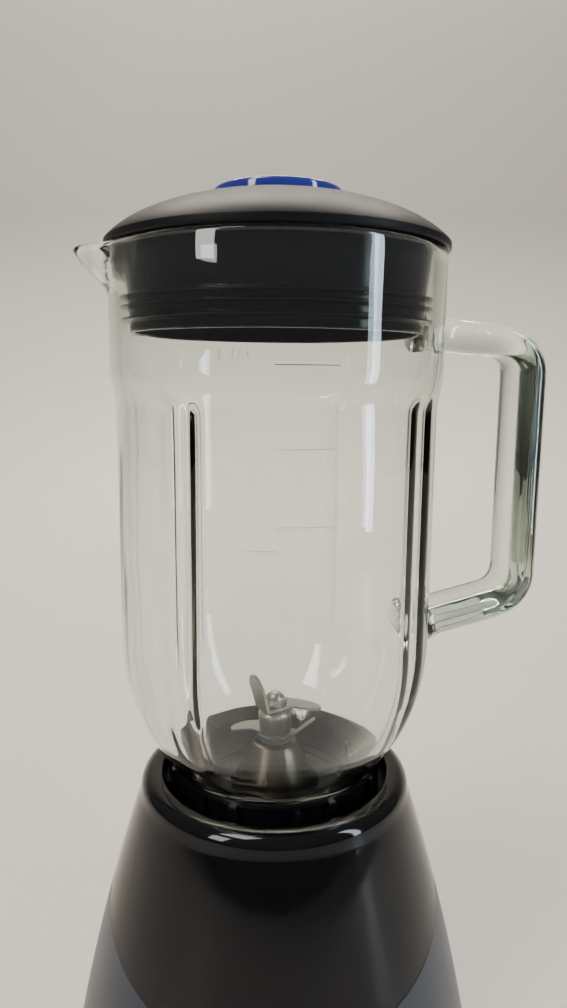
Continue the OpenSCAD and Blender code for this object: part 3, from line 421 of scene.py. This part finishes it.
core_steel = banded("core_steel", (0.30, 0.31, 0.33), (0.12, 0.125, 0.135), 320, "Z", 0.35, 1, 0.0001)
copper_wire = banded("copper_wire", (0.62, 0.24, 0.1), (0.3, 0.1, 0.04), 300, "Z", 0.25, 0.8, 0.0003)
commutator_copper = banded("commutator_copper", (0.75, 0.42, 0.25), (0.5, 0.27, 0.15), 90, "X", 0.25, 1, 0.00001)
bracket_alloy = brushed("bracket_alloy", (0.55, 0.56, 0.58), (0.42, 0.42, 0.42), 0.42, (1, 1, 1), 700, 0.00003)
shaft_steel = brushed("shaft_steel", (0.66, 0.67, 0.69), (0.55, 0.55, 0.56), 0.18, (1, 1, 0.05), 2500)
bush_bronze = brushed("bush_bronze", (0.62, 0.42, 0.19), (0.42, 0.27, 0.12), 0.35, (1, 1, 0.05), 1200)
holder_brass = brushed("holder_brass", (0.74, 0.56, 0.26), (0.5, 0.36, 0.16), 0.3, (1, 0.05, 1), 1200)
carbon = moulded("carbon", (0.02, 0.02, 0.021), (0.05, 0.05, 0.052), 0.55, 5000, 0.00003, 0.4)
fan_nylon = moulded("fan_nylon", (0.72, 0.71, 0.66), (0.55, 0.53, 0.48), 0.42, 1800)
dress(core_steel, "stator_core", "armature_core")
dress(copper_wire, "field_coils", "armature_windings")
dress(commutator_copper, "commutator")
dress(bracket_alloy, "upper_bracket", "lower_bracket")
dress(shaft_steel, "motor_shaft")
dress(bush_bronze, "upper_bearing", "lower_bearing", "spindle_bush")
dress(holder_brass, "brush_holders")
dress(carbon, "carbon_brushes")
dress(fan_nylon, "cooling_fan")
dress(seal_rubber, "motor_grommets")

# ---- couplings ----
# A six-armed drive star on the motor shaft meshes with a socket under the jar. Both are tough
# black nylon, moulded, and worn a little grey where they meet.
coupling_plastic = moulded("coupling_plastic", (0.03, 0.03, 0.033), (0.10, 0.10, 0.10), 0.45, 1600, 0.00004, 0.5)
for name, body in (("drive_coupling", "rotor"), ("jar_coupling", "blades")):
    weighted(show(name + "_moulded", eased(name, 0.0003), coupling_plastic, body, "coupling_plastic", name))

# ---- collar and blade holder ----
# The collar is a gloss black threaded ring with pairs of finger grips. It clamps the blade holder,
# a black nylon plug with a pressed stainless cup over its top, against the foot of the glass.
collar_plastic = moulded("collar_plastic", (0.004, 0.004, 0.005), (0.012, 0.012, 0.013), 0.12, 400, 0.00001, 0.35)
holder_plastic = moulded("holder_plastic", (0.012, 0.012, 0.013), (0.03, 0.03, 0.032), 0.3, 1800, 0.00002, 0.3)
cup_steel = brushed("cup_steel", (0.20, 0.17, 0.13), (0.12, 0.10, 0.08), 0.3, (1, 1, 4), 350, 0.000012)
show("collar_moulded", merged("collar"), collar_plastic, "collar_unit", "collar_plastic", "collar")
show("blade_holder_moulded", merged("blade_holder"), holder_plastic, "collar_unit", "holder_plastic", "blade_holder")
show("blade_cup_pressed", merged("blade_cup"), cup_steel, "collar_unit", "blade_steel", "blade_cup", sharp=50)
dress(seal_rubber, "spindle_seal")
show("jar_gasket_moulded", merged("jar_gasket"), seal_rubber, "gasket", "seal_rubber", "jar_gasket")

# ---- blades ----
# Two strips of hardened stainless steel, cut to leaf shapes, bent and ground, are threaded on the
# spindle with a turned spacer between them and held by a small dome nut.
blade_steel = brushed("blade_steel", (0.42, 0.40, 0.37), (0.32, 0.30, 0.27), 0.36, (1, 1, 0.1), 900, 0.00001)
turned_steel = brushed("turned_steel", (0.46, 0.44, 0.41), (0.34, 0.32, 0.29), 0.28, (1, 1, 6), 500, 0.000006)
for name in ("lower_blade", "upper_blade"):
    weighted(show(name + "_ground", eased(name, 0.0003, 50), blade_steel, "blades", "blade_steel", name))
show("blade_spacer_turned", merged("blade_spacer"), turned_steel, "blades", "blade_steel", "blade_spacer")
show("blade_nut_turned", merged("blade_nut"), turned_steel, "blades", "blade_steel", "blade_nut", sharp=25)
dress(zinc_steel, "blade_washer")
dress(shaft_steel, "spindle")


# ---- glass jar ----
# One pressing of soda-lime glass: a straight wall with four flutes, a bowl-shaped bottom on a
# threaded neck, a flared rim band with a pouring lip, and a handle run on at the back of the right.
def rounded(points):
    """Closed outline with each (x, z, radius) corner replaced by an arc."""
    done = []
    for i, point in enumerate(points):
        here = Vector(point[:2])
        if len(point) == 2:
            done.append(tuple(here))
            continue
        before = (Vector(points[i - 1][:2]) - here).normalized()
        after = (Vector(points[(i + 1) % len(points)][:2]) - here).normalized()
        half = before.angle(after) / 2
        centre = here + (before + after).normalized() * point[2] / math.sin(half)
        first = here + before * point[2] / math.tan(half) - centre
        last = here + after * point[2] / math.tan(half) - centre
        sweep = -first.angle_signed(last)
        done += [tuple(centre + Matrix.Rotation(sweep * k / 6, 2) @ first) for k in range(7)]
    return done


def turned(outline, steps=144, closed=True):
    """A bmesh turned about the upright axis from an outline of (radius, height)."""
    bm = bmesh.new()
    verts = [bm.verts.new((x, 0, z)) for x, z in outline]
    edges = [bm.edges.new(pair) for pair in zip(verts, verts[1:] + (verts[:1] if closed else []))]
    bmesh.ops.spin(bm, geom=verts + edges, cent=(0, 0, 0), axis=(0, 0, 1), angle=math.tau, steps=steps,
                   use_merge=True)
    bmesh.ops.remove_doubles(bm, verts=bm.verts, dist=1e-6)
    bmesh.ops.recalc_face_normals(bm, faces=bm.faces)
    return bm


jar_low, jar_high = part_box("glass_jar")
foot_z, rim_z = jar_low.z, jar_high.z
wall_r, wall, flare = 0.063, 0.0045, 0.0019
bowl_z, bowl_depth = foot_z + 0.078, 0.074
neck_r, bore_r = 0.038, 0.033
rim_r = wall_r + flare
handle_turn = math.radians(13)
flute_depth, flute_half, flute_foot, flute_top = 0.0028, 0.0072, foot_z + 0.030, rim_z - 0.0560
flute_turns = [handle_turn + math.radians(a) for a in (45, 135, 225, 315)]
lip_turn, lip_reach, lip_half, lip_drop = handle_turn + math.pi, 0.0121, 0.0135, 0.016


def glass_line(from_r, inset):
    """The glass wall from a radius low on the bowl up to the flared band, set in by inset."""
    wide, deep = wall_r - inset, bowl_depth - inset
    start = math.acos(from_r / wide)
    line = [(wide * math.cos(start * (1 - i / 30)), bowl_z - deep * math.sin(start * (1 - i / 30)))
            for i in range(31)]
    line += [(wide, bowl_z + (rim_z - 0.061 - bowl_z) * i / 24) for i in range(1, 24)]
    line += [(wide + flare * (1 - math.cos(math.pi * i / 10)) / 2, rim_z - 0.059 + 0.016 * i / 10)
             for i in range(11)]
    return line + [(wide + flare, rim_z - 0.043 + 0.036 * i / 14) for i in range(1, 15)]


rim = rounded([(rim_r, rim_z - 0.006), (rim_r, rim_z, 0.0019), (rim_r - wall, rim_z, 0.0019),
               (rim_r - wall, rim_z - 0.006)])
foot = rounded([(bore_r, foot_z + 0.004), (bore_r, foot_z, 0.0008), (neck_r, foot_z, 0.0012),
                (neck_r, foot_z + 0.004)])
jar = turned(foot + glass_line(neck_r, 0) + rim + glass_line(bore_r, wall)[::-1], steps=288)


def fade(value):
    value = max(0.0, min(1.0, value))
    return value * value * (3 - 2 * value)


for vert in jar.verts:
    radius, angle = vert.co.xy.length, math.atan2(vert.co.y, vert.co.x)
    shell = wall_r if vert.co.z < rim_z - 0.05 else rim_r
    half = flute_half * (1.35 if radius < shell - wall / 2 else 1)
    along = fade((vert.co.z - flute_foot) / 0.03) * fade((flute_top + 0.004 - vert.co.z) / 0.008)
    push = 0.0
    for flute in flute_turns:
        apart = abs(math.remainder(angle - flute, math.tau)) * wall_r
        push -= flute_depth * along * (0.5 + 0.5 * math.cos(math.pi * min(1, apart / half)))
    apart = math.remainder(angle - lip_turn, math.tau) * rim_r
    push += lip_reach * math.exp(-(apart / lip_half) ** 2) * fade((vert.co.z - rim_z + lip_drop) / lip_drop) ** 0.8
    vert.co.xy *= (radius + push) / radius

# The handle is one bar with thicker roots, drawn out of the wall, round two bends and back.
bar_t, bar_w, bend_r, corner_r = 0.013, 0.024, 0.014, 0.0055
handle_reach, upper_root, upper_bend, lower_bend, lower_root = 0.0516, 0.2004, 0.1972, 0.088, 0.0778
root_swell = ((0.002, 1.13), (0.003, 1.1), (0.004, 1.06))
grip_x = wall_r + handle_reach - bar_t / 2
path = [Vector((x, 0, foot_z + z)) for x, z in (
    (wall_r - 0.0005, upper_root), (grip_x, upper_bend), (grip_x, lower_bend), (wall_r - 0.0025, lower_root))]
swell = math.prod(s for run, s in root_swell)
bar = bmesh.new()
heading = (path[1] - path[0]).normalized()
across = Vector((-heading.z, 0, heading.x))
section = rounded([(-bar_t / 2, -bar_w / 2, corner_r), (-bar_t / 2, bar_w / 2, corner_r),
                   (bar_t / 2, bar_w / 2, corner_r), (bar_t / 2, -bar_w / 2, corner_r)])
end = bar.faces.new([bar.verts.new(path[0] + (across * a + Vector((0, b, 0))) * swell) for a, b in section])
bmesh.ops.duplicate(bar, geom=[end])


def draw_bar(end, along, size=1.0):
    """Extrudes the bar's end face along, and scales it about its own middle."""
    made = bmesh.ops.extrude_discrete_faces(bar, faces=[end])["faces"][0]
    bmesh.ops.translate(bar, verts=made.verts, vec=along)
    bmesh.ops.scale(bar, verts=made.verts, vec=(size, size, size),
                    space=Matrix.Translation(-made.calc_center_median()))
    return made


cut, straight_steps = 0.0, 8
for i in range(3):
    heading = (path[i + 1] - path[i]).normalized()
    after = (path[i + 2] - path[i + 1]).normalized() if i < 2 else heading
    turn = heading.angle(after) if i < 2 else 0.0
    run = (path[i + 1] - path[i]).length - cut
    cut = bend_r * math.tan(turn / 2)
    run -= cut
    steps = [(length, 1 / size) for length, size in root_swell] if i == 0 else []
    tail = [(length, size) for length, size in root_swell[::-1]] if i == 2 else []
    run -= sum(length for length, size in steps + tail)
    for length, size in steps + [(run / straight_steps, 1)] * straight_steps + tail:
        end = draw_bar(end, heading * length, size)
    if i < 2:
        centre = path[i + 1] - heading * cut + Vector((heading.z, 0, -heading.x)) * bend_r
        made = bmesh.ops.spin(bar, geom=[end], cent=centre, axis=(0, 1, 0), angle=turn, steps=14)["geom_last"]
        bmesh.ops.delete(bar, geom=[end], context="FACES_ONLY")
        end = next(g for g in made if isinstance(g, bmesh.types.BMFace))
bmesh.ops.remove_doubles(bar, verts=bar.verts, dist=1e-6)
bmesh.ops.recalc_face_normals(bar, faces=bar.faces)
bmesh.ops.rotate(bar, verts=bar.verts, cent=(0, 0, 0), matrix=Matrix.Rotation(handle_turn, 3, "Z"))

# The screw thread is a short ridge wound up the neck.
thread_pitch, thread_turns, thread_proud = 0.004, 1.25, 0.0016
ridge = bmesh.new()
profile = [ridge.verts.new((x, 0, foot_z + 0.003 + z)) for x, z in (
    (neck_r - 0.0005, -0.0012), (neck_r + thread_proud, -0.0005), (neck_r + thread_proud, 0.0005),
    (neck_r - 0.0005, 0.0012))]
start = ridge.faces.new(profile)
bmesh.ops.duplicate(ridge, geom=[start])
ridge_steps = 90
bmesh.ops.spin(ridge, geom=[start], cent=(0, 0, 0), axis=(0, 0, 1), angle=math.tau * thread_turns,
               dvec=(0, 0, thread_pitch * thread_turns / ridge_steps), steps=ridge_steps)
bmesh.ops.remove_doubles(ridge, verts=ridge.verts, dist=1e-6)
bmesh.ops.recalc_face_normals(ridge, faces=ridge.faces)

jar_glass, tree, shader = new_material("jar_glass")
place = object_place(tree)
shader.inputs["Transmission Weight"].default_value = 1
shader.inputs["IOR"].default_value = 1.51
cloud = spread(tree, noise(tree, place, 14), 0, 1)
link(tree, (blend_colours(tree, cloud, (0.985, 0.995, 0.985), (0.97, 0.985, 0.97)), shader.inputs["Base Color"]),
     (spread(tree, noise(tree, place, 90, 5), 0.0, 0.012), shader.inputs["Roughness"]),
     (raised(tree, noise(tree, place, 55, 1, (1, 1, 0.35)), 0.00025), shader.inputs["Normal"]))
tint = tree.nodes.new("ShaderNodeVolumeAbsorption")
tint.inputs["Color"].default_value = (0.55, 0.72, 0.5, 1)
tint.inputs["Density"].default_value = 16
tree.links.new(tint.outputs[0], tree.nodes["Material Output"].inputs["Volume"])


def joined(name, base, *others):
    """The first mesh with each of the others fused to it."""
    objects = []
    for number, bm in enumerate((base, *others)):
        mesh = bpy.data.meshes.new(name + str(number))
        bm.to_mesh(mesh)
        bm.free()
        objects.append(bpy.data.objects.new(name + str(number), mesh))
        bpy.context.scene.collection.objects.link(objects[-1])
    for other in objects[1:]:
        fuse = objects[0].modifiers.new("fuse", "BOOLEAN")
        fuse.operation, fuse.solver, fuse.object = "UNION", "EXACT", other
    done = bmesh.new()
    done.from_object(objects[0], bpy.context.evaluated_depsgraph_get())
    for thing in objects:
        bpy.data.objects.remove(thing)
    return done


# The quarter-litre lines and one number are cut into the mould, so they stand proud of the wall.
mark_proud, mark_root, mark_half = 0.0004, 0.0009, 0.0006


def line_mark(radius, height, start, sweep):
    """A raised line round the wall, from an angle in degrees to the right of the front."""
    bm = bmesh.new()
    section = rounded([(radius - mark_root, height - mark_half), (radius + mark_proud, height - mark_half, 0.0003),
                       (radius + mark_proud, height + mark_half, 0.0003), (radius - mark_root, height + mark_half)])
    face = bm.faces.new([bm.verts.new((x, 0, z)) for x, z in section])
    bmesh.ops.duplicate(bm, geom=[face])
    bmesh.ops.spin(bm, geom=[face], cent=(0, 0, 0), axis=(0, 0, 1), angle=math.radians(sweep), steps=12)
    bmesh.ops.remove_doubles(bm, verts=bm.verts, dist=1e-6)
    bmesh.ops.recalc_face_normals(bm, faces=bm.faces)
    bmesh.ops.rotate(bm, verts=bm.verts, cent=(0, 0, 0), matrix=Matrix.Rotation(math.radians(start - 90), 3, "Z"))
    return bm


def number_mark(text, size, radius, height, turn):
    """Raised characters bent round the wall, at an angle in degrees to the right of the front."""
    bm = lettering(text, size, (mark_proud + mark_root) / 2)
    for vert in bm.verts:
        angle = math.radians(turn - 90) + vert.co.x / radius
        reach = radius + vert.co.z + (mark_proud - mark_root) / 2
        vert.co = (reach * math.cos(angle), reach * math.sin(angle), height + vert.co.y)
    return bm


marks = [line_mark(wall_r, 0.2490, 0, 18.5), line_mark(wall_r, 0.2757, 0, 18.5), line_mark(rim_r, 0.3025, 0, 18.5),
         line_mark(wall_r, 0.2410, -10, 11), number_mark("1 1/4", 0.0056, rim_r, 0.3050, -12)]
show("glass_jar_pressed", joined("part", jar, bar, ridge, *marks), jar_glass, "jar", "jar_glass", "glass_jar",
     sharp=40)

# ---- lid ----
# One black polypropylene moulding: a satin dome with a hole in the middle, and a polished skirt
# with three thin sealing ribs that springs into the rim of the glass.
lid_low, lid_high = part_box("lid")
lid_r, hole_r, flat_r, lid_t = lid_high.x, 0.02215, 0.026, 0.0024
lid_top, seat_z, skirt_z, skirt_r = lid_high.z, rim_z + 0.0003, lid_low.z, 0.0594
bend_z, upper_lean, lower_lean, neck_z = rim_z - 0.01535, 0.0016, 0.0008, lid_top - 0.019
rib_r, rib_foot, rib_tip, rib_depths = 0.060, 0.00103, 0.0003, (0.0186, 0.022, 0.0264)
dome_r, dome_rise, flat_share = 0.070, 0.02805, 0.9285


def dome_z(radius):
    """Height of the dome, which is level inside its flat middle."""
    return lid_top - dome_rise * (flat_share - math.sqrt(1 - (max(radius, flat_r) / dome_r) ** 2))


def skirt_line(z):
    """Outer radius of the skirt, which leans in a little more above its middle than below it."""
    if z > bend_z:
        return skirt_r - upper_lean * (seat_z - z) / (seat_z - bend_z)
    return skirt_r - upper_lean - lower_lean * (bend_z - z) / (bend_z - skirt_z)


outline = [(hole_r, neck_z, 0.0005), (hole_r, lid_top, 0.0007)]
outline += [(flat_r + (lid_r - flat_r) * i / 40, dome_z(flat_r + (lid_r - flat_r) * i / 40)) for i in range(40)]
outline += [(lid_r, dome_z(lid_r), 0.0006), (lid_r, seat_z, 0.001), (skirt_r, seat_z, 0.0006),
            (skirt_line(bend_z), bend_z)]
for z in (rim_z - depth for depth in rib_depths):
    outline += [(skirt_line(z + rib_foot), z + rib_foot, 0.0004), (rib_r, z + rib_tip, 0.00022),
                (rib_r, z - rib_tip, 0.00022), (skirt_line(z - rib_foot), z - rib_foot, 0.0004)]
outline += [(skirt_line(skirt_z), skirt_z, 0.0008), (skirt_line(skirt_z) - lid_t, skirt_z, 0.0008),
            (skirt_r - upper_lean - lid_t, bend_z), (skirt_r - 0.001 - lid_t, seat_z)]
under_r = skirt_r - lid_t - 0.001
outline += [(r, dome_z(r) - lid_t) for r in (under_r + (hole_r + lid_t - under_r) * i / 30 for i in range(31))]
outline += [(hole_r + lid_t, neck_z, 0.0005)]

lid_plastic, tree, shader = new_material("lid_plastic")
place = object_place(tree)
height = tree.nodes.new("ShaderNodeSeparateXYZ")
satin = tree.nodes.new("ShaderNodeMapRange")
for label, value in (("From Min", seat_z - 0.0006), ("From Max", seat_z + 0.0004)):
    satin.inputs[label].default_value = value
gloss = tree.nodes.new("ShaderNodeMix")
rubbed = spread(tree, noise(tree, place, 40, 4), 0.42, 0.52)
shader.inputs["IOR"].default_value = 1.2
link(tree, (place, height.inputs[0]), (height.outputs["Z"], satin.inputs["Value"]),
     (satin.outputs["Result"], gloss.inputs["Factor"]), (rubbed, gloss.inputs["B"]),
     (spread(tree, noise(tree, place, 30, 3), 0.06, 0.12), gloss.inputs["A"]),
     (gloss.outputs["Result"], shader.inputs["Roughness"]),
     (blend_colours(tree, satin.outputs["Result"], (0.010, 0.013, 0.018), (0.008, 0.008, 0.009)),
      shader.inputs["Base Color"]),
     (raised(tree, noise(tree, place, 2600), 0.000015), shader.inputs["Normal"]))
show("lid_moulded", turned(rounded(outline), steps=192), lid_plastic, "lid", "lid_plastic", "lid")

# ---- lid cap ----
# A translucent cobalt-blue styrene cup that hangs by its flange in the lid's hole. It is polished
# in the mould and doubles as a measure.
cap_low, cap_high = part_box("lid_cap")
flange_r, cup_r, cup_t, cap_seat = cap_high.x, 0.0218, 0.0018, lid_top + 0.0003
outline = rounded([(0.001, cap_high.z), (flange_r, cap_high.z, 0.0012), (flange_r, cap_seat, 0.0004),
                   (cup_r, cap_seat, 0.0003), (cup_r, cap_low.z, 0.0008), (cup_r - cup_t, cap_low.z, 0.0008),
                   (cup_r - cup_t, cap_seat + 0.0016, 0.0012), (0.001, cap_seat + 0.0016)])
outline = [(0, cap_high.z)] + outline + [(0, cap_seat + 0.0016)]
cap_plastic, tree, shader = new_material("cap_plastic")
place = object_place(tree)
shader.inputs["Transmission Weight"].default_value = 0.55
shader.inputs["IOR"].default_value = 1.58
link(tree, (blend_colours(tree, spread(tree, noise(tree, place, 30), 0, 1), (0.04, 0.06, 0.50), (0.03, 0.04, 0.36)),
            shader.inputs["Base Color"]),
     (spread(tree, noise(tree, place, 80, 4), 0.06, 0.14), shader.inputs["Roughness"]),
     (raised(tree, noise(tree, place, 60, 1), 0.00008), shader.inputs["Normal"]))
show("lid_cap_moulded", turned(outline, closed=False), cap_plastic, "lid_cap", "cap_plastic", "lid_cap")
